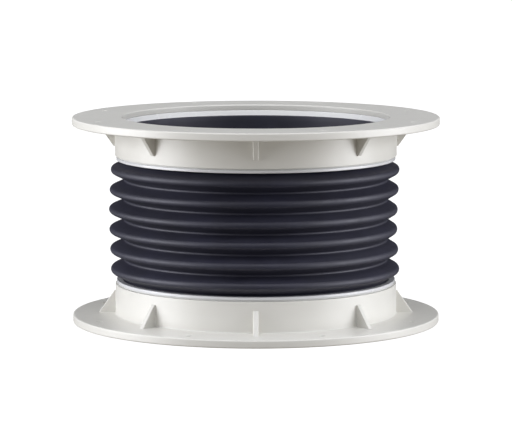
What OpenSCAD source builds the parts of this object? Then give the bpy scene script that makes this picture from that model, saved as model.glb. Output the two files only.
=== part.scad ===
// Flanged rubber expansion joint: two ribbed plastic flanges that swivel on
// the end sleeves of a six-wave rubber bellows. Every ring is drawn for the
// lower end, and the upper end is the same ring mirrored about mid height.
// Millimetres. The origin is the centre of the lower flange's face, +Z up.

/* [Overall] */
// Height from flange face to flange face
overall_h = 168; // [160:1:176]
// Bore through the flanges
bore_d = 218; // [216:0.5:218]

/* [Flanges] */
// Outside diameter of the flange plate
flange_d = 300; // [290:1:320]
// Thickness of the flange plate
plate_t = 6.5; // [5:0.5:8]
// Radius on the edges of the plate's rim
rim_round = 0.9; // [0.5:0.1:1.5]
// Outside diameter of the collar behind the plate
collar_d = 230; // [230:0.5:234]
// Distance from the flange face to the collar's end
collar_end = 31.5; // [30:0.5:33]
// Depth of the bore's lip, which covers the sleeve's end
lip_depth = 4.5; // [3:0.5:5]

/* [Gusset ribs] */
// Number of triangular ribs between plate and collar
rib_count = 8; // [4:1:12]
// Thickness of one rib
rib_t = 4; // [3:0.5:6]
// How far a rib's foot reaches out along the plate
rib_reach = 13.8; // [8:0.2:16]
// Height of a rib up the collar
rib_h = 17.8; // [10:0.2:22]

/* [Screw holes] */
// Number of screw holes in each flange, halfway between ribs when the same as the ribs
screw_count = 8; // [4:1:12]
// Diameter of the screw circle
screw_circle_d = 273; // [268:1:280]
// Diameter of one screw hole
screw_hole_d = 4.6; // [4:0.1:6]

/* [Sleeves] */
// Outside diameter of the sleeve that the flange turns on
sleeve_d = 224.2; // [224:0.1:224.6]
// Inside diameter of the sleeve, which holds the rubber cuff
sleeve_bore_d = 218.2; // [217.8:0.1:218.4]
// Outside diameter of the sleeve's lip, seen between collar and rubber
sleeve_lip_d = 228; // [226:0.5:229]
// Thickness of that lip
sleeve_lip_t = 2.4; // [2:0.1:3]
// Outside diameter of the thrust washer between collar and lip
washer_d = 226.4; // [225.5:0.1:227]
// Radial running clearance of the flange on the sleeve
swivel_gap = 0.08; // [0.05:0.01:0.1]

/* [Bellows] */
// Number of waves
wave_count = 6; // [4:1:7]
// Outside diameter over the crests
crest_d = 236; // [235:0.5:237]
// Outside radius of a crest
crest_r = 3.3; // [3:0.1:3.5]
// Outside radius of a root
root_r = 1.4; // [1.2:0.1:1.6]
// Angle each crest arc turns through on either side before the straight flank
flank_angle = 63; // [62:0.5:64]
// Thickness of the rubber
wall_t = 2.2; // [2:0.1:2.4]
// Inside diameter of the cuff at each end
cuff_bore_d = 212.8; // [212:0.1:213]
// Depth of the cuff's end below the flange face
cuff_depth = 9; // [8:0.5:12]

/* [Hoops and clamping bands] */
// Wire diameter of the support hoops inside the roots
hoop_wire_d = 3; // [2.6:0.1:3.2]
// Width of the steel band that holds each cuff out
band_w = 12; // [10:0.5:14]
// Thickness of that band
band_t = 0.8; // [0.6:0.1:1]
// Wire diameter of the snap rings that hold the flanges on
snap_wire_d = 1.6; // [1.4:0.1:1.7]
// Section diameter of the O-rings
o_ring_section_d = 1.8; // [1.6:0.1:1.9]

/* [Hidden] */
hoop_count = wave_count - 1;
HOOPS = [for (i = [1:hoop_count]) str("support_hoop_", i)];
$fn = 96;

// Radii of the swivel, from the outside in
sleeve_r = sleeve_d / 2;
collar_bore_r = sleeve_r + swivel_gap;
sleeve_bore_r = sleeve_bore_d / 2;
flat_gap = 0.1;
fit_gap = 0.1;
end_gap = 0.2;

// Heights along one end, from the flange face
washer_t = 1;
washer_z = collar_end + flat_gap;
lip_z = washer_z + washer_t;
sleeve_end = lip_z + sleeve_lip_t;
snap_z = 17;
o_ring_z = 25;
band_z = 21;

// The waves
bellows_z = sleeve_end;
pitch = (overall_h - 2 * bellows_z) / wave_count;
crest_c = crest_d / 2 - crest_r;
root_c = crest_c + (crest_r + root_r - pitch / 2 * sin(flank_angle)) / cos(flank_angle);
cuff_bore_r = cuff_bore_d / 2;
cuff_r = sleeve_bore_r - fit_gap;
arc_steps = 6;

// The hoops sit in open grooves in a bead behind each root
hoop_r = 104.2;
bead_r = 103.2;
bead_w = 5;
groove_play = 0.05;

// The turnbuckle that spreads each band
band_r = cuff_bore_r - fit_gap;
lug_h = 10;
lug_w = 7;
lug_x = 11;
lug_depth = 8;
stud_d = 5;
stud_l = 31;
stud_r = band_r - band_t - 4.2;
hex_af = 8;
hex_l = 8;
band_split = 12;

// Colours
ivory = [0.88, 0.88, 0.85];
cool_white = [0.9, 0.92, 0.94];
slate = [0.14, 0.14, 0.17];
steel = [0.7, 0.71, 0.73];
seal_grey = [0.3, 0.3, 0.32];
nylon = [0.78, 0.78, 0.76];

// A ring drawn for the lower end, turned over for the upper end
module at_top() {
    translate([0, 0, overall_h]) mirror([0, 0, 1]) children();
}

// Points of an arc about [r, z], from angle a to angle b
function arc_points(r, z, radius, a, b) =
    [for (i = [0:arc_steps]) let (t = a + (b - a) * i / arc_steps)
        [r + radius * cos(t), z + radius * sin(t)]];

module round_hole_ring(count, circle_d, hole_d, depth, turn) {
    for (i = [0:count - 1])
        rotate([0, 0, turn + i * 360 / count])
            translate([circle_d / 2, 0, -1]) cylinder(d = hole_d, h = depth + 2, $fn = 32);
}

// One triangular gusset. Its slope runs on into the plate and the collar
module gusset() {
    sunk = 1;
    rotate([90, 0, 0]) translate([0, 0, -rib_t / 2]) linear_extrude(rib_t)
        polygon([
            [collar_d / 2 - sunk, plate_t - sunk],
            [collar_d / 2 + rib_reach * (1 + sunk / rib_h), plate_t - sunk],
            [collar_d / 2 - sunk, plate_t + rib_h * (1 + sunk / rib_reach)]
        ]);
}

// Plate, collar, lip and the groove for the snap ring, as one turned section
module flange_section() {
    rim_c = flange_d / 2 - rim_round;
    difference() {
        polygon(concat(
            [[bore_d / 2, 0]],
            arc_points(rim_c, rim_round, rim_round, -90, 0),
            arc_points(rim_c, plate_t - rim_round, rim_round, 0, 90),
            [[collar_d / 2, plate_t], [collar_d / 2, collar_end],
             [collar_bore_r, collar_end], [collar_bore_r, lip_depth],
             [bore_d / 2, lip_depth]]));
        translate([sleeve_r, snap_z]) circle(snap_wire_d / 2 + groove_play, $fn = 32);
    }
}

module flange() {
    color(ivory) difference() {
        union() {
            rotate_extrude() flange_section();
            for (i = [0:rib_count - 1]) rotate([0, 0, -90 + i * 360 / rib_count]) gusset();
        }
        round_hole_ring(screw_count, screw_circle_d, screw_hole_d, plate_t,
                        -90 + 180 / screw_count);
    }
}

module sleeve() {
    start = lip_depth + end_gap;
    groove_r = sleeve_r - 1.85;
    groove_w = 2.4;
    color(cool_white) rotate_extrude() difference() {
        union() {
            translate([sleeve_bore_r, start])
                square([sleeve_r - sleeve_bore_r, sleeve_end - start]);
            translate([sleeve_bore_r, lip_z])
                square([sleeve_lip_d / 2 - sleeve_bore_r, sleeve_lip_t]);
        }
        translate([groove_r, o_ring_z - groove_w / 2]) square([3, groove_w]);
        translate([sleeve_r, snap_z]) circle(snap_wire_d / 2 + 3 * groove_play, $fn = 32);
    }
}

module thrust_washer() {
    inner_r = collar_bore_r;
    color(nylon) rotate_extrude()
        translate([inner_r, washer_z]) square([washer_d / 2 - inner_r, washer_t]);
}

// A split ring of round wire
module snap_ring() {
    gap_w = 9;
    color(steel) difference() {
        rotate_extrude() translate([sleeve_r, snap_z]) circle(d = snap_wire_d, $fn = 32);
        translate([0, -gap_w / 2, 0]) cube([flange_d, gap_w, collar_end]);
    }
}

module o_ring() {
    color(seal_grey) rotate_extrude()
        translate([sleeve_r - o_ring_section_d / 2, o_ring_z])
            circle(d = o_ring_section_d, $fn = 32);
}

// Threaded stud with a hexagon in the middle, lying across the band's split
module turnbuckle() {
    color(steel) translate([0, stud_r, band_z + band_w / 2]) rotate([0, 90, 0]) {
        translate([0, 0, -stud_l / 2]) cylinder(d = stud_d, h = stud_l, $fn = 32);
        translate([0, 0, -hex_l / 2]) cylinder(d = hex_af / cos(30), h = hex_l, $fn = 6);
    }
}

// Split steel strip with a drilled lug at each side of the split
module cuff_band() {
    color(steel) difference() {
        union() {
            rotate_extrude()
                translate([band_r - band_t, band_z]) square([band_t, band_w]);
            intersection() {
                for (side = [-1, 1])
                    translate([side * lug_x - lug_w / 2, band_r - band_t - lug_depth,
                               band_z + (band_w - lug_h) / 2])
                        cube([lug_w, lug_depth + 3, lug_h]);
                cylinder(r = band_r - band_t / 2, h = overall_h);
            }
        }
        translate([-band_split / 2, 0, band_z - 1]) cube([band_split, flange_d, band_w + 2]);
        translate([-stud_l / 2, stud_r, band_z + band_w / 2]) rotate([0, 90, 0])
            cylinder(d = stud_d + 0.1, h = stud_l, $fn = 32);
    }
}

// One side of the bellows wall. skin is 0 for the outside and wall_t for the
// inside, and the arcs of crest and root share their centres on both sides
function wave_points(skin) =
    [for (k = [0:wave_count - 1]) let (
        low = bellows_z + k * pitch,
        mid = low + pitch / 2,
        high = low + pitch)
        each concat(
            arc_points(root_c, low, root_r + skin, 180, 180 - flank_angle),
            arc_points(crest_c, mid, crest_r - skin, -flank_angle, flank_angle),
            arc_points(root_c, high, root_r + skin, 180 + flank_angle, 180))];

module bellows_section() {
    outside = concat(
        [[cuff_r, cuff_depth], [cuff_r, bellows_z + flat_gap],
         [root_c - root_r, bellows_z + flat_gap]],
        [for (p = wave_points(0)) if (p[1] > bellows_z + 2 * flat_gap
            && p[1] < overall_h - bellows_z - 2 * flat_gap) p],
        [[root_c - root_r, overall_h - bellows_z - flat_gap],
         [cuff_r, overall_h - bellows_z - flat_gap], [cuff_r, overall_h - cuff_depth]]);
    inside = wave_points(wall_t);
    back = [for (i = [len(inside) - 1:-1:0]) inside[i]];
    taper = 1.8;
    polygon(concat(
        outside,
        [[cuff_bore_r, overall_h - cuff_depth],
         [cuff_bore_r, overall_h - bellows_z + taper]],
        back,
        [[cuff_bore_r, bellows_z - taper], [cuff_bore_r, cuff_depth]]));
}

module rubber_bellows() {
    color(slate) rotate_extrude() difference() {
        union() {
            bellows_section();
            for (k = [1:hoop_count])
                translate([bead_r, bellows_z + k * pitch - bead_w / 2])
                    square([root_c - root_r - 1 - bead_r, bead_w]);
        }
        for (k = [1:hoop_count])
            translate([hoop_r, bellows_z + k * pitch])
                circle(d = hoop_wire_d + 2 * groove_play, $fn = 32);
    }
}

module support_hoop(k) {
    color(steel) rotate_extrude()
        translate([hoop_r, bellows_z + k * pitch]) circle(d = hoop_wire_d, $fn = 32);
}

flange();  // lower_flange
at_top() flange();  // upper_flange
sleeve();  // lower_sleeve
at_top() sleeve();  // upper_sleeve
thrust_washer();  // lower_thrust_washer
at_top() thrust_washer();  // upper_thrust_washer
snap_ring();  // lower_snap_ring
at_top() snap_ring();  // upper_snap_ring
o_ring();  // lower_o_ring
at_top() o_ring();  // upper_o_ring
cuff_band();  // lower_cuff_band
at_top() cuff_band();  // upper_cuff_band
turnbuckle();  // lower_turnbuckle
at_top() turnbuckle();  // upper_turnbuckle
rubber_bellows();
for (k = [1:hoop_count])
    support_hoop(k);
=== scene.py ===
"""Looks of the rubber expansion joint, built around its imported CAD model. Metres, +Z up."""

import math

import bmesh
import bpy
import numpy as np
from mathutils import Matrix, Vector


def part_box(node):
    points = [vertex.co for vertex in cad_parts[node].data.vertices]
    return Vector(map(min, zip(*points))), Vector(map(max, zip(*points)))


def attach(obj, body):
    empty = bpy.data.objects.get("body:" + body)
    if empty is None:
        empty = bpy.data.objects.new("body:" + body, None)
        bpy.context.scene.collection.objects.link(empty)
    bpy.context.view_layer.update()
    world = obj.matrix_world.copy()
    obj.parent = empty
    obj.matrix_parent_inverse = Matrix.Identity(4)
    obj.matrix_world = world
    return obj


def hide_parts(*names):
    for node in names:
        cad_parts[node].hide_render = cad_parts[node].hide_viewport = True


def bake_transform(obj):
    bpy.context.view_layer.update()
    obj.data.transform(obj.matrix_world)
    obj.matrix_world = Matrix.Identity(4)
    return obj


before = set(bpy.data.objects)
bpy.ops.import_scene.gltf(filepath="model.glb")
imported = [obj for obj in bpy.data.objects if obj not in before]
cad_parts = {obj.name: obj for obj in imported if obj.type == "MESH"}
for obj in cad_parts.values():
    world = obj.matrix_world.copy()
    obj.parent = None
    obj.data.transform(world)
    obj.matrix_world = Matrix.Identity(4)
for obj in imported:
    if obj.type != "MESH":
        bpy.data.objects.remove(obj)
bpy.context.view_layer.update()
MM = 0.001


# Sizes, read from the frame ------------------------------------------------------------------
def outer_r(node):
    """Largest radius of a turned node."""
    return max(math.hypot(v.co.x, v.co.y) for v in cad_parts[node].data.vertices)


def inner_r(node):
    """Smallest radius of a turned node."""
    return min(math.hypot(v.co.x, v.co.y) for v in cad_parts[node].data.vertices)


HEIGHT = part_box("upper_flange")[1].z
FLANGE_R = outer_r("lower_flange")
BORE_R = inner_r("lower_flange")
COLLAR_R = 115 * MM
COLLAR_BORE_R = 112.18 * MM
COLLAR_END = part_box("lower_flange")[1].z
PLATE_T = 6.5 * MM
LIP_DEPTH = 4.5 * MM
SLEEVE_LOW, SLEEVE_END = (corner.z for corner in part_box("lower_sleeve"))
SLEEVE_BORE_R = inner_r("lower_sleeve")
SLEEVE_R = 112.1 * MM
SLEEVE_LIP_R = outer_r("lower_sleeve")
SLEEVE_LIP_T = 2.4 * MM
SNAP_Z = sum(corner.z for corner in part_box("lower_snap_ring")) / 2
O_RING_Z = sum(corner.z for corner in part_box("lower_o_ring")) / 2
CREST_R = outer_r("rubber_bellows")
CUFF_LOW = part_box("rubber_bellows")[0].z
CUFF_R = 109 * MM
CUFF_BORE_R = 106.4 * MM
HOOPS = sorted(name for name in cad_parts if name.startswith("support_hoop"))
WAVES = len(HOOPS) + 1
PITCH = (HEIGHT - 2 * SLEEVE_END) / WAVES
HOOP_WIRE_R = (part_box(HOOPS[0])[1].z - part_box(HOOPS[0])[0].z) / 2
HOOP_R = outer_r(HOOPS[0]) - HOOP_WIRE_R
BAND_LOW, BAND_HIGH = (corner.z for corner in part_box("lower_cuff_band"))
BAND_R = outer_r("lower_cuff_band")


# Mesh helpers --------------------------------------------------------------------------------
def finished(obj, sharp_degrees):
    """Outward normals, smooth shading, creases above sharp_degrees, and flat faces kept flat."""
    bm = bmesh.new()
    bm.from_mesh(obj.data)
    bmesh.ops.remove_doubles(bm, verts=bm.verts, dist=1e-7)
    bmesh.ops.recalc_face_normals(bm, faces=bm.faces)
    for face in bm.faces:
        face.smooth = True
    for edge in bm.edges:
        edge.smooth = edge.calc_face_angle(0) < math.radians(sharp_degrees)
    bm.to_mesh(obj.data)
    bm.free()
    return obj


def new_piece(name, verts, faces, material, sharp_degrees=40):
    mesh = bpy.data.meshes.new(name)
    mesh.from_pydata([tuple(v) for v in verts], [], faces)
    mesh.materials.append(material)
    obj = bpy.data.objects.new(name, mesh)
    bpy.context.scene.collection.objects.link(obj)
    return finished(obj, sharp_degrees)


def weigh_normals(obj):
    """Large flat faces set the shading beside their rounded edges."""
    modifier = obj.modifiers.new("weighted", "WEIGHTED_NORMAL")
    modifier.keep_sharp = True
    return obj


def combined(obj, others, operation):
    """Boolean of obj with other pieces, which are used up."""
    for other in others:
        modifier = obj.modifiers.new("boolean", "BOOLEAN")
        modifier.operation = operation
        modifier.solver = "EXACT"
        modifier.object = other
    evaluated = obj.evaluated_get(bpy.context.evaluated_depsgraph_get())
    mesh = bpy.data.meshes.new_from_object(evaluated)
    obj.modifiers.clear()
    obj.data = mesh
    for other in others:
        bpy.data.objects.remove(other)
    return obj


def arc(r, z, radius, start, stop, steps=6):
    """Points of an arc about (r, z), from start to stop degrees."""
    angles = np.radians(np.linspace(start, stop, steps + 1))
    return [(r + radius * math.cos(a), z + radius * math.sin(a)) for a in angles]


def grid_faces(rings, count, closed=True):
    """Quads between successive rings of count points each; the last ring joins the first."""
    faces = []
    for j in range(rings if closed else rings - 1):
        k = (j + 1) % rings
        for i in range(count):
            n = (i + 1) % count
            faces.append((j * count + i, k * count + i, k * count + n, j * count + n))
    return faces


def turned(name, section, material, steps=256, sharp_degrees=40, shift=None):
    """A closed section of (r, z) points turned about Z. shift may move each point."""
    verts = []
    for j in range(steps):
        a = 2 * math.pi * j / steps
        for r, z in section:
            if shift:
                r, z = shift(r, z, a)
            verts.append((r * math.cos(a), r * math.sin(a), z))
    return new_piece(name, verts, grid_faces(steps, len(section)), material, sharp_degrees)


def turn_over(obj):
    """Mirrors a finished lower-end piece to the upper end."""
    for vertex in obj.data.vertices:
        vertex.co.z = HEIGHT - vertex.co.z
    obj.data.flip_normals()
    return obj


# Material helpers ----------------------------------------------------------------------------
class Look:
    """A Principled material and short ways to wire procedural detail into it."""

    def __init__(self, name):
        self.material = bpy.data.materials.new(name)
        self.material.use_nodes = True
        self.tree = self.material.node_tree
        self.shader = self.tree.nodes["Principled BSDF"]
        self.place = self.node("ShaderNodeTexCoord").outputs["Object"]

    def node(self, kind, **values):
        made = self.tree.nodes.new(kind)
        for key, value in values.items():
            setattr(made, key, value)
        return made

    def link(self, source, target):
        self.tree.links.new(source, target)

    def noise(self, scale, detail=3.0, roughness=0.5, stretch=None):
        made = self.node("ShaderNodeTexNoise")
        made.inputs["Scale"].default_value = scale
        made.inputs["Detail"].default_value = detail
        made.inputs["Roughness"].default_value = roughness
        place = self.place
        if stretch:
            mapping = self.node("ShaderNodeMapping")
            mapping.inputs["Scale"].default_value = stretch
            self.link(place, mapping.inputs["Vector"])
            place = mapping.outputs["Vector"]
        self.link(place, made.inputs["Vector"])
        return made.outputs["Fac"]

    def ramp(self, source, stops):
        made = self.node("ShaderNodeValToRGB")
        elements = made.color_ramp.elements
        while len(elements) < len(stops):
            elements.new(0.5)
        for element, (position, colour) in zip(elements, stops):
            element.position = position
            element.color = (*colour, 1)
        self.link(source, made.inputs["Fac"])
        return made.outputs["Color"]

    def spread(self, source, low, high):
        """Maps a 0 to 1 value onto low to high."""
        made = self.node("ShaderNodeMapRange")
        made.inputs["From Min"].default_value = 0.25
        made.inputs["From Max"].default_value = 0.75
        made.inputs["To Min"].default_value = low
        made.inputs["To Max"].default_value = high
        self.link(source, made.inputs["Value"])
        return made.outputs["Result"]

    def mixed(self, factor, first, second):
        made = self.node("ShaderNodeMix", data_type="RGBA")
        self.link(factor, made.inputs["Factor"])
        for socket, value in ((made.inputs[6], first), (made.inputs[7], second)):
            if isinstance(value, tuple):
                socket.default_value = (*value, 1)
            else:
                self.link(value, socket)
        return made.outputs[2]

    def bump(self, height, distance, strength=1.0, below=None):
        made = self.node("ShaderNodeBump")
        made.inputs["Strength"].default_value = strength
        made.inputs["Distance"].default_value = distance
        self.link(height, made.inputs["Height"])
        if below:
            self.link(below, made.inputs["Normal"])
        self.link(made.outputs["Normal"], self.shader.inputs["Normal"])
        return made.outputs["Normal"]

    def set(self, **values):
        for name, value in values.items():
            self.shader.inputs[name.replace("_", " ")].default_value = value

    def wire(self, **sources):
        for name, source in sources.items():
            self.link(source, self.shader.inputs[name.replace("_", " ")])


def tinted(colour, share):
    return tuple(channel * share for channel in colour)


def plastic_look(name, colour, roughness, fine, worn=0.94):
    """Moulded plastic: faint flow marks, a very fine grain and dust-dulled patches."""
    look = Look(name)
    flow = look.noise(9, 4, 0.55, stretch=(1, 1, 3))
    patches = look.noise(42, 3)
    base = look.ramp(flow, [(0.3, tinted(colour, worn)), (0.7, colour)])
    look.wire(Base_Color=look.mixed(look.spread(patches, 0, 0.35), base, tinted(colour, 0.97)))
    look.wire(Roughness=look.spread(look.noise(160, 4, 0.6), roughness - 0.05, roughness + 0.06))
    grain = look.bump(look.noise(1400, 2), 0.00002, fine)
    look.bump(look.noise(30, 2), 0.00012, 0.35, below=grain)
    return look


def rubber_look(name, colour, roughness):
    """Moulded rubber: fine matte grain, soft bloom patches and shallow ripples."""
    look = Look(name)
    bloom = look.noise(26, 5, 0.6)
    pale = tuple(channel * 1.7 + 0.002 for channel in colour)
    base = look.ramp(bloom, [(0.35, colour), (0.75, pale)])
    specks = look.ramp(look.noise(900, 2, 0.4), [(0.72, (0, 0, 0)), (0.8, (1, 1, 1))])
    look.wire(Base_Color=look.mixed(specks, base, tinted(pale, 1.6)))
    look.wire(Roughness=look.spread(look.noise(70, 5, 0.65), roughness - 0.05, roughness + 0.08))
    look.set(Specular_IOR_Level=0.78, Specular_Tint=(0.95, 0.94, 1, 1))
    grain = look.bump(look.noise(1700, 3), 0.00003, 0.5)
    look.bump(look.noise(38, 3), 0.00025, 0.3, below=grain)
    return look


def steel_look(name, colour, roughness, stretch):
    """Drawn or rolled steel with fine streaks along the way it was worked."""
    look = Look(name)
    streaks = look.noise(700, 4, 0.6, stretch=stretch)
    look.wire(Base_Color=look.ramp(streaks, [(0.3, tinted(colour, 0.78)), (0.7, colour)]))
    look.wire(Roughness=look.spread(look.noise(90, 4), roughness - 0.07, roughness + 0.1))
    look.set(Metallic=1.0)
    look.bump(streaks, 0.00002, 0.4)
    return look


flange_look = plastic_look("moulded_flange_plastic", (0.70, 0.686, 0.638), 0.36, 0.5)
sleeve_look = plastic_look("moulded_sleeve_plastic", (0.68, 0.683, 0.69), 0.24, 0.25, worn=0.96)
washer_look = plastic_look("washer_plastic", (0.63, 0.63, 0.61), 0.5, 0.8, worn=0.9)
bellows_look = rubber_look("bellows_rubber", (0.006, 0.006, 0.016), 0.57)
seal_look = rubber_look("seal_rubber", (0.010, 0.010, 0.010), 0.5)
wire_look = steel_look("drawn_steel_wire", (0.60, 0.61, 0.63), 0.3, (1, 1, 6))
strip_look = steel_look("rolled_steel_strip", (0.62, 0.63, 0.65), 0.34, (1, 1, 9))
thread_look = steel_look("zinc_plated_steel", (0.66, 0.66, 0.64), 0.38, (3, 1, 1))


# Flanges -------------------------------------------------------------------------------------
RIB_HALF = 2 * MM
RIB_REACH = 13.8 * MM
RIB_HEIGHT = 17.8 * MM
RIB_BLUNT = 1.3 * MM
RIB_GAP_STEPS = 18
RIBS = 8
SCREW_CIRCLE_R = 136.5 * MM
SCREW_HOLE_R = 2.3 * MM


def between(start, stop, steps):
    """Points after start, up to and including stop, on a straight line."""
    return [
        tuple(np.array(start) + (np.array(stop) - np.array(start)) * i / steps)
        for i in range(1, steps + 1)
    ]


def flange_sections():
    """The flange's closed section without a rib, and the same points where a rib stands."""
    rim, fillet, soft, bore_soft = 1.2 * MM, 1.2 * MM, 0.4 * MM, 1.2 * MM
    groove_r, groove_half, rib_end = 0.85 * MM, 1 * MM, 0.05 * MM
    foot = (COLLAR_R + RIB_REACH, PLATE_T)
    apex = (COLLAR_R, PLATE_T + RIB_HEIGHT)
    blunt = (COLLAR_R + RIB_BLUNT, PLATE_T + RIB_HEIGHT)
    plain = arc(BORE_R + bore_soft, bore_soft, bore_soft, 180, 270, 5)
    plain += between(plain[-1], (FLANGE_R - rim, 0), 8)
    plain += arc(FLANGE_R - rim, rim, rim, -90, 0, 5)[1:]
    plain += arc(FLANGE_R - rim, PLATE_T - rim, rim, 0, 90, 5)
    plain += between(plain[-1], foot, 4)
    rib_start = len(plain) - 1
    corner = arc(COLLAR_R + fillet, PLATE_T + fillet, fillet, 270, 180, 6)
    plain += between(foot, corner[0], 12)
    plain += corner[1:]
    plain += between(corner[-1], apex, 14)
    rib_stop = len(plain) - 1
    plain.append((COLLAR_R, apex[1] + rib_end))
    plain += between(plain[-1], (COLLAR_R, COLLAR_END - soft), 2)
    plain += arc(COLLAR_R - soft, COLLAR_END - soft, soft, 0, 90, 3)[1:]
    plain += arc(COLLAR_BORE_R + soft, COLLAR_END - soft, soft, 90, 180, 3)
    plain += arc(SLEEVE_R, SNAP_Z, groove_r, 84, -84, 6)
    plain += between((COLLAR_BORE_R, SNAP_Z - groove_half), (COLLAR_BORE_R, LIP_DEPTH), 2)
    plain += between((COLLAR_BORE_R, LIP_DEPTH), (BORE_R, LIP_DEPTH), 2)
    steps = [0.0]
    for a, b in zip(plain[rib_start:rib_stop], plain[rib_start + 1 : rib_stop + 1]):
        steps.append(steps[-1] + math.dist(a, b))
    ribbed = list(plain)
    for i, along in enumerate(steps):
        share = along / steps[-1]
        ribbed[rib_start + i] = tuple(np.array(foot) * (1 - share) + np.array(blunt) * share)
    return np.array(plain), np.array(ribbed)


def rib_steps():
    """(distance from the rib's middle plane, drop from the rib's top, rise off the wall)."""
    top_round, foot_round = 0.5 * MM, 0.4 * MM
    turns = [math.radians(degrees) for degrees in (0, 30, 60, 90)]
    steps = [(0.0, 0.0, None), (RIB_HALF - 1.6 * top_round, 0.0, None)]
    for a in turns:
        out, drop = top_round * (1 - math.sin(a)), top_round * (1 - math.cos(a))
        steps.append((RIB_HALF - out, drop, None))
    for a in turns:
        out, rise = foot_round * (1 - math.cos(a)), foot_round * (1 - math.sin(a))
        steps.append((RIB_HALF + out, None, rise))
    return steps


def rib_meridians():
    """Meridians from the middle of one gap to the middle of the next, with a rib between.

    Each is (side of the rib, distance, drop, rise, share of the way from the rib to the
    middle of the gap).
    """
    half = [(*step, 0.0) for step in rib_steps()]
    edge = half[-1][0]
    half += [(edge, None, 0.0, i / RIB_GAP_STEPS) for i in range(1, RIB_GAP_STEPS + 1)]
    return [(-1, *step) for step in reversed(half[1:-1])] + [(1, *step) for step in half]


def flange(name):
    plain, ribbed = flange_sections()
    lift = np.linalg.norm(ribbed - plain, axis=1)
    lifted = np.where(lift > 0, lift, 1)
    sector = 2 * math.pi / RIBS
    meridians = rib_meridians()
    verts = []
    for k in range(RIBS):
        middle = k * sector - math.pi / 2
        for side, distance, drop, rise, gap_share in meridians:
            if drop is None:
                rib_share = np.minimum(rise, lift / 2) / lifted
            else:
                rib_share = np.where(lift > 0, 1 - np.minimum(drop, lift / 2) / lifted, 0)
            points = plain + (ribbed - plain) * rib_share[:, None]
            r, z = points[:, 0], points[:, 1]
            near = np.arcsin(distance / r)
            angle = side * (near + (sector / 2 - near) * gap_share) + middle
            verts += np.stack([r * np.cos(angle), r * np.sin(angle), z], 1).tolist()
    faces = grid_faces(RIBS * len(meridians), len(plain))
    body = new_piece(name, verts, faces, flange_look.material, 50)
    drills = [drill(f"drill_{k}", (k + 0.5) * sector - math.pi / 2) for k in range(RIBS)]
    return weigh_normals(finished(combined(body, drills, "DIFFERENCE"), 50))


def drill(name, angle):
    """The empty space of one screw hole, with its rounded edges."""
    soft, out = 0.45 * MM, 1 * MM
    wide = SCREW_HOLE_R + soft
    low = arc(wide, soft, soft, 270, 180, 4)
    high = arc(wide, PLATE_T - soft, soft, 180, 90, 4)
    outline = [(wide, -out)] + low + high + [(wide, PLATE_T + out)]
    steps = 40
    centre = Vector((math.cos(angle), math.sin(angle), 0)) * SCREW_CIRCLE_R
    verts = [
        (
            centre.x + r * math.cos(2 * math.pi * j / steps),
            centre.y + r * math.sin(2 * math.pi * j / steps),
            z,
        )
        for r, z in outline
        for j in range(steps)
    ]
    faces = grid_faces(len(outline), steps, closed=False)
    faces.append(tuple(reversed(range(steps))))
    faces.append(tuple(range(len(verts) - steps, len(verts))))
    return new_piece(name, verts, faces, flange_look.material)


def both_ends(make, name, lower_body, upper_body, replaced):
    """Makes a lower-end piece and its turned-over twin, riding on their bodies."""
    for end, body in (("lower", lower_body), ("upper", upper_body)):
        piece = make(f"{end}_{name}")
        if end == "upper":
            turn_over(piece)
        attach(piece, body)
        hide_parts(f"{end}_{replaced}")


both_ends(flange, "flange_moulding", "base", "top_flange", "flange")


# Sleeves and thrust washers ------------------------------------------------------------------
def sleeve(name):
    soft, groove_in, groove_half, snap_groove_r = 0.5 * MM, 1.85 * MM, 1.2 * MM, 0.95 * MM
    lip_low = SLEEVE_END - SLEEVE_LIP_T
    section = arc(SLEEVE_BORE_R + soft, SLEEVE_LOW + soft, soft, 180, 270, 4)
    section += arc(SLEEVE_R - soft, SLEEVE_LOW + soft, soft, -90, 0, 4)
    section += arc(SLEEVE_R, SNAP_Z, snap_groove_r, -90, -270, 8)
    section += [
        (SLEEVE_R, O_RING_Z - groove_half),
        (SLEEVE_R - groove_in, O_RING_Z - groove_half),
        (SLEEVE_R - groove_in, O_RING_Z + groove_half),
        (SLEEVE_R, O_RING_Z + groove_half),
        (SLEEVE_R, lip_low),
    ]
    section += arc(SLEEVE_LIP_R - soft, lip_low + soft, soft, -90, 0, 5)
    section += arc(SLEEVE_LIP_R - soft, SLEEVE_END - soft, soft, 0, 90, 5)
    section += [(SLEEVE_BORE_R + soft, SLEEVE_END), (SLEEVE_BORE_R, SLEEVE_END - soft)]
    return weigh_normals(turned(name, section, sleeve_look.material, 320))


def washer(name):
    low, high = (corner.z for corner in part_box("lower_thrust_washer"))
    inner, outer = inner_r("lower_thrust_washer"), outer_r("lower_thrust_washer")
    soft = 0.2 * MM
    section = [(inner, high - soft), (inner, low + soft), (inner + soft, low)]
    section += arc(outer - soft, low + soft, soft, -90, 0, 3)
    section += arc(outer - soft, high - soft, soft, 0, 90, 3)
    section += [(inner + soft, high)]
    return weigh_normals(turned(name, section, washer_look.material, 320))


both_ends(sleeve, "end_sleeve", "lower_cuff", "upper_cuff", "sleeve")
both_ends(washer, "swivel_washer", "lower_cuff", "upper_cuff", "thrust_washer")


# Bellows: six waves, each its own piece -------------------------------------------------------
WALL_T = 2.2 * MM
CREST_ROUND = 3.3 * MM
ROOT_ROUND = 1.4 * MM
FLANK = 63
CREST_C = CREST_R - CREST_ROUND
ROOT_C = CREST_C + (
    CREST_ROUND + ROOT_ROUND - PITCH / 2 * math.sin(math.radians(FLANK))
) / math.cos(math.radians(FLANK))
BEAD_R = 103.2 * MM
BEAD_HALF = 2.5 * MM
GROOVE_R = HOOP_WIRE_R + 0.05 * MM
CUFF_TAPER = 1.8 * MM
BOW = 2.1 * MM


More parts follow.
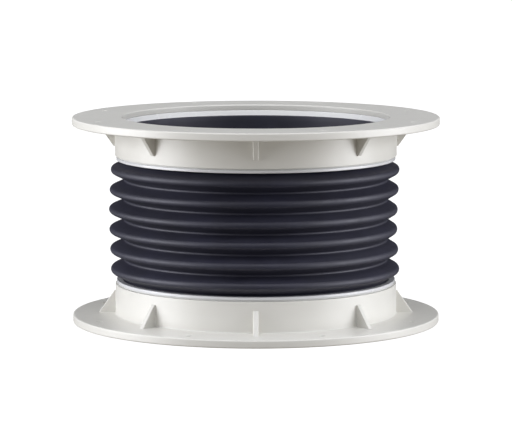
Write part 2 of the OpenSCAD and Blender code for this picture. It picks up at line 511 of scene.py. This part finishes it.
def outer_wave(low, high, low_end=180, high_end=180):
    """Outside of one wave, from its lower root to its upper root."""
    points = arc(ROOT_C, low, ROOT_ROUND, low_end, 180 - FLANK, 8)
    points += arc(CREST_C, (low + high) / 2, CREST_ROUND, -FLANK, FLANK, 28)
    points += arc(ROOT_C, high, ROOT_ROUND, 180 + FLANK, high_end, 8)
    return points


def bead(root_z, side):
    """Inside of the wall at a root, from the wall's arc to the hoop's groove."""
    inner_round = ROOT_ROUND + WALL_T
    lean = math.degrees(math.asin(BEAD_HALF / inner_round))
    soft = 0.7 * MM
    opening = math.acos((BEAD_R - HOOP_R) / GROOVE_R)
    points = arc(ROOT_C, root_z, inner_round, 180 - side * FLANK, 180 - side * lean, 6)
    points += arc(
        BEAD_R + soft, root_z + side * (BEAD_HALF - soft), soft, side * 90, side * 180, 4
    )
    groove = arc(HOOP_R, root_z, GROOVE_R, side * math.degrees(opening), 0, 10)
    return points + groove


def wave_section(low, high):
    """Closed section of a middle wave, halved through the roots' grooves at both ends."""
    outside = outer_wave(low, high)
    upper = list(reversed(bead(high, -1)))
    crest = arc(CREST_C, (low + high) / 2, CREST_ROUND - WALL_T, FLANK, -FLANK, 12)
    return outside + upper + crest + bead(low, 1)


def end_section():
    """Closed section of the lowest wave with its cuff, up to the first root."""
    low, high = SLEEVE_END, SLEEVE_END + PITCH
    gap, soft = 0.1 * MM, 0.8 * MM
    rest = low + gap
    outside = arc(CUFF_R - soft, CUFF_LOW + soft, soft, -90, 0, 4)
    outside += between(outside[-1], (CUFF_R, rest), 6)
    outside += between((CUFF_R, rest), (ROOT_C - ROOT_ROUND, rest), 2)
    outside += [p for p in outer_wave(low, high) if p[1] > rest + gap]
    upper = list(reversed(bead(high, -1)))
    crest = arc(CREST_C, (low + high) / 2, CREST_ROUND - WALL_T, FLANK, -FLANK, 12)
    throat = arc(ROOT_C, low, ROOT_ROUND + WALL_T, 180 - FLANK, 180, 8)
    cuff = between(throat[-1], (CUFF_BORE_R, low - CUFF_TAPER), 2)
    cuff += between(cuff[-1], (CUFF_BORE_R, CUFF_LOW + soft), 6)
    cuff += arc(CUFF_BORE_R + soft, CUFF_LOW + soft, soft, 180, 270, 4)[1:]
    return outside + upper + crest + throat + cuff


def lively(wave):
    """The bellows' bow to the left, and the unevenness of one wave's crest.

    The bow fades out towards both ends and the inside, and the rest towards the roots.
    """
    low = SLEEVE_END + (wave - 1) * PITCH

    def shift(r, z, a):
        along = min(max((z - SLEEVE_END) / (HEIGHT - 2 * SLEEVE_END), 0), 1)
        out = min(max((r - CUFF_R) / (CREST_R - CUFF_R), 0), 1)
        lean = -BOW * math.sin(math.pi * along) * out * math.cos(a)
        share = min(max((z - low) / PITCH, 0), 1)
        fade = math.sin(math.pi * share) ** 2
        swell = 0.16 * math.sin(2 * a + 1.7 * wave) + 0.1 * math.sin(3 * a - 2.3 * wave)
        sway = 0.2 * math.sin(a + 2.9 * wave) + 0.12 * math.sin(3 * a + 1.1 * wave)
        return r + lean + swell * fade * MM, z + sway * fade * MM

    return shift


def make_bellows():
    """Each wave is turned as one piece of its own."""
    for wave in range(1, WAVES + 1):
        low = SLEEVE_END + (wave - 1) * PITCH
        if wave in (1, WAVES):
            section = end_section()
            if wave == WAVES:
                section = [(r, HEIGHT - z) for r, z in reversed(section)]
        else:
            section = wave_section(low, low + PITCH)
        piece = turned(
            f"bellows_wave_{wave}", section, bellows_look.material, 288, 35, lively(wave)
        )
        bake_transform(piece)
        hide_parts("rubber_bellows")


make_bellows()


# Support hoops -------------------------------------------------------------------------------
def hoop(number, node):
    """Round wire hoop with the flattened swelling of its butt weld on the bore's side."""
    weld, weld_half, weld_rise = math.radians(60 + 67 * number), 1.3 * MM, 0.35 * MM

    def shift(r, z, a):
        before = (a - weld) % (2 * math.pi) * HOOP_R / weld_half
        after = (weld - a) % (2 * math.pi) * HOOP_R / weld_half
        near = min(math.exp(-(before**2)) + math.exp(-(after**2)), 1)
        inward = max(HOOP_R - r, 0) / HOOP_WIRE_R
        return r - weld_rise * near * inward, z

    section = arc(HOOP_R, SLEEVE_END + number * PITCH, HOOP_WIRE_R, 0, 360, 24)[:-1]
    piece = turned(f"wire_hoop_{number}", section, wire_look.material, 360, 60, shift)
    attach(piece, f"hoop_{number}")
    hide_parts(node)


for number, node in enumerate(HOOPS, 1):
    hoop(number, node)


# Cuff bands and their turnbuckles ------------------------------------------------------------
BAND_T = 0.8 * MM
BAND_SPLIT = 12 * MM
LUG_X, LUG_W, LUG_H, LUG_DEPTH = 11 * MM, 7 * MM, 10 * MM, 8 * MM
STUD_LOW, STUD_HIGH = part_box("lower_turnbuckle")
STUD_R = 2.5 * MM
STUD_INSET = 4.2 * MM
STUD_Y = BAND_R - BAND_T - STUD_INSET
STUD_Z = (BAND_LOW + BAND_HIGH) / 2


def rounded_box(name, low, high, soft, material):
    """A box with rounded edges, as a lug pressed from thick plate has."""
    bm = bmesh.new()
    bmesh.ops.create_cube(bm, size=1)
    size, centre = Vector(high) - Vector(low), (Vector(high) + Vector(low)) / 2
    for vertex in bm.verts:
        vertex.co = Vector(a * b for a, b in zip(vertex.co, size)) + centre
    bmesh.ops.bevel(bm, geom=bm.edges, offset=soft, segments=3, profile=0.5, affect="EDGES")
    mesh = bpy.data.meshes.new(name)
    bm.to_mesh(mesh)
    bm.free()
    mesh.materials.append(material)
    obj = bpy.data.objects.new(name, mesh)
    bpy.context.scene.collection.objects.link(obj)
    return finished(obj, 40)


def strip(name):
    """The band's split strip, with rounded edges, turned from one end to the other."""
    soft = 0.25 * MM
    inner = BAND_R - BAND_T
    section = arc(BAND_R - soft, BAND_LOW + soft, soft, -90, 0, 3)
    section += arc(BAND_R - soft, BAND_HIGH - soft, soft, 0, 90, 3)
    section += arc(inner + soft, BAND_HIGH - soft, soft, 90, 180, 3)
    section += arc(inner + soft, BAND_LOW + soft, soft, 180, 270, 3)
    steps = 300
    half = math.asin(BAND_SPLIT / 2 / BAND_R)
    verts = []
    for j in range(steps + 1):
        a = math.pi / 2 + half + (2 * math.pi - 2 * half) * j / steps
        verts += [(r * math.cos(a), r * math.sin(a), z) for r, z in section]
    faces = grid_faces(steps + 1, len(section), closed=False)
    faces.append(tuple(range(len(section))))
    faces.append(tuple(reversed(range(len(verts) - len(section), len(verts)))))
    return new_piece(name, verts, faces, strip_look.material)


def cuff_band(name):
    """The strip with a bored lug at each side of its split."""
    band = strip(name)
    inner = BAND_R - BAND_T
    lugs = []
    for side in (-1, 1):
        low = (side * LUG_X - LUG_W / 2, inner - LUG_DEPTH, STUD_Z - LUG_H / 2)
        high = (side * LUG_X + LUG_W / 2, inner + 0.1 * MM, STUD_Z + LUG_H / 2)
        lugs.append(rounded_box(f"lug_{side + 1}", low, high, 0.6 * MM, strip_look.material))
    combined(band, lugs, "UNION")
    bore = tube_along_x("lug_bore", STUD_LOW.x, STUD_HIGH.x, lambda x, a: STUD_R + 0.05 * MM, 2)
    return weigh_normals(finished(combined(band, [bore], "DIFFERENCE"), 40))


def tube_along_x(name, start, stop, radius, rings, around=40):
    """A closed round bar along X at the stud's place. radius is a function of x and angle."""
    verts = []
    for x in np.linspace(start, stop, rings):
        for j in range(around):
            a = 2 * math.pi * j / around
            r = radius(x, a)
            verts.append((x, STUD_Y + r * math.cos(a), STUD_Z + r * math.sin(a)))
    faces = grid_faces(rings, around, closed=False)
    faces.append(tuple(reversed(range(around))))
    faces.append(tuple(range(len(verts) - around, len(verts))))
    return new_piece(name, verts, faces, thread_look.material, 50)


def turnbuckle(name):
    """Stud with a right-hand and a left-hand thread, and a chamfered hexagon between."""
    lead, depth, hex_half, hex_flat, end_bevel = 0.8 * MM, 0.4 * MM, 4 * MM, 4 * MM, 0.7 * MM
    end = STUD_HIGH.x

    def radius(x, a):
        if abs(x) <= hex_half:
            face = (a + math.pi / 6) % (math.pi / 3) - math.pi / 6
            corner = hex_flat / math.cos(face)
            chamfer = hex_flat * 1.02 + (hex_half - abs(x)) * 0.9
            return min(corner, chamfer)
        turn = (abs(x) / lead + math.copysign(1, x) * a / (2 * math.pi)) % 1
        tooth = abs(2 * turn - 1)
        chamfer = max(abs(x) - (end - end_bevel), 0)
        return STUD_R - depth * (1 - tooth) - chamfer * 0.9

    return tube_along_x(name, STUD_LOW.x, end, radius, 311, 48)


both_ends(cuff_band, "expansion_band", "lower_cuff", "upper_cuff", "cuff_band")
both_ends(turnbuckle, "band_turnbuckle", "lower_cuff", "upper_cuff", "turnbuckle")


# Snap rings and O-rings, which stay CAD nodes ------------------------------------------------
for end in ("lower", "upper"):
    for node, look in (("snap_ring", wire_look), ("o_ring", seal_look)):
        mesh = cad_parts[f"{end}_{node}"].data
        mesh.materials.clear()
        mesh.materials.append(look.material)


# Floor, light and camera ---------------------------------------------------------------------
def make_floor():
    """White cove seen by the camera, and a dimmer warm card under it that lights from below."""
    middle, floor_r, rise, wall_top = 0.05, 6, 2, 8
    floor_z, card_r, card_z = -0.4 * MM, 4.2, -2 * MM
    cove = [(middle, floor_z)] + arc(floor_r, rise + floor_z, rise, -90, 0, 10)
    cove.append((floor_r + rise, wall_top))
    sweep = glowing_piece("white_sweep", cove, 96, (1, 1, 1), 1.05)
    sweep.visible_glossy = sweep.visible_diffuse = sweep.visible_shadow = False
    flat = [(middle, card_z), (card_r, card_z)]
    card = glowing_piece("bounce_card", flat, 4, (1, 0.86, 0.66), 0.19)
    card.visible_glossy = card.visible_camera = card.visible_shadow = False


def glowing_piece(name, outline, steps, colour, strength):
    """An outline of (r, z) points turned about Z from its closed middle outwards."""
    look = Look(name)
    look.wire(Base_Color=look.ramp(look.noise(3, 2), [(0.3, (0.06,) * 3), (0.7, (0.07,) * 3)]))
    look.set(Roughness=0.8, Emission_Color=(*colour, 1), Emission_Strength=strength)
    turns = [2 * math.pi * (j + 0.5) / steps for j in range(steps)]
    verts = [(r * math.cos(a), r * math.sin(a), z) for r, z in outline for a in turns]
    faces = grid_faces(len(outline), steps, closed=False) + [tuple(range(steps))]
    piece = new_piece(name, verts, faces, look.material)
    return piece


def softbox(name, azimuth, elevation, distance, size, radiance, colour):
    """A rectangular area light that looks at the middle of the object.

    azimuth counts from the front towards the right, in degrees. radiance is what its face
    shows, whatever its size.
    """
    lamp = bpy.data.lights.new(name, "AREA")
    lamp.shape = "RECTANGLE"
    lamp.size, lamp.size_y = size
    lamp.energy = radiance * math.pi * size[0] * size[1]
    lamp.color = colour
    obj = bpy.data.objects.new(name, lamp)
    bpy.context.scene.collection.objects.link(obj)
    a, e = math.radians(azimuth), math.radians(elevation)
    away = Vector((math.sin(a) * math.cos(e), -math.cos(a) * math.cos(e), math.sin(e)))
    middle = Vector((0, 0, HEIGHT / 2))
    obj.location = middle + away * distance
    obj.rotation_mode = "QUATERNION"
    obj.rotation_quaternion = away.to_track_quat("Z", "Y")
    return obj


def light_only(lamp, piece):
    """Keeps a lamp's light to one piece, as a small snooted fill does in a studio."""
    receivers = bpy.data.collections.new(f"lit_by_{lamp.name}")
    receivers.objects.link(piece)
    lamp.light_linking.receiver_collection = receivers


def make_world():
    """Studio surroundings: a soft band of light above, strongest in front, and lit sides below."""
    world = bpy.data.worlds.new("studio")
    bpy.context.scene.world = world
    world.use_nodes = True
    tree = world.node_tree
    new, link = tree.nodes.new, tree.links.new
    split = new("ShaderNodeSeparateXYZ")
    link(new("ShaderNodeTexCoord").outputs["Generated"], split.inputs["Vector"])

    def spread(source, from_min, from_max, to_min, to_max):
        made = new("ShaderNodeMapRange")
        for name, value in zip(("From Min", "From Max", "To Min", "To Max"),
                               (from_min, from_max, to_min, to_max)):
            made.inputs[name].default_value = value
        link(source, made.inputs["Value"])
        return made.outputs["Result"]

    aside = new("ShaderNodeMath")
    aside.operation = "ABSOLUTE"
    link(split.outputs["X"], aside.inputs[0])
    below = spread(aside.outputs["Value"], 0.45, 0.95, 0.04, 0.6)
    above = spread(split.outputs["Y"], 0.4, -0.4, 0.15, 1)
    level = new("ShaderNodeMix")
    link(spread(split.outputs["Z"], -0.03, 0.03, 0, 1), level.inputs["Factor"])
    link(below, level.inputs[2])
    link(above, level.inputs[3])
    ramp = new("ShaderNodeValToRGB")
    link(split.outputs["Z"], ramp.inputs["Fac"])
    stops = [(0, 1.0), (0.01, 0.22), (0.2, 0.24), (0.42, 0.36), (0.72, 0.7), (0.95, 3.7)]
    for _ in stops[2:]:
        ramp.color_ramp.elements.new(0.5)
    for element, (position, grey) in zip(ramp.color_ramp.elements, stops):
        element.position = position
        element.color = (grey * 0.985, grey, grey * 1.055, 1)
    background = tree.nodes["Background"]
    link(ramp.outputs["Color"], background.inputs["Color"])
    link(level.outputs[0], background.inputs["Strength"])


def make_camera():
    """Long lens, looking down a little at the middle of the object."""
    camera = bpy.data.cameras.new("camera")
    camera.sensor_width = 36
    camera.lens = 229.3
    camera.clip_start, camera.clip_end = 0.1, 60
    obj = bpy.data.objects.new("camera", camera)
    bpy.context.scene.collection.objects.link(obj)
    down, distance = math.radians(6.92), 2.671
    target = Vector((0.1 * MM, 0, 84.6 * MM))
    back = Vector((0, -math.cos(down), math.sin(down)))
    obj.location = target + back * distance
    obj.rotation_mode = "QUATERNION"
    obj.rotation_quaternion = back.to_track_quat("Z", "Y")
    bpy.context.scene.camera = obj


make_floor()
softbox("left_softbox", -80, 7, 1.5, (1.2, 1.0), 6.3, (0.985, 1.0, 1.045))
softbox("right_softbox", 80, 7, 1.5, (1.2, 1.0), 5.4, (0.985, 1.0, 1.045))
fill = softbox("bore_fill", 0, 50, 0.5, (0.3, 0.1), 18, (1.0, 1.0, 0.98))
light_only(fill, bpy.data.objects["upper_end_sleeve"])
make_world()
make_camera()
bpy.context.scene.view_settings.view_transform = "Standard"
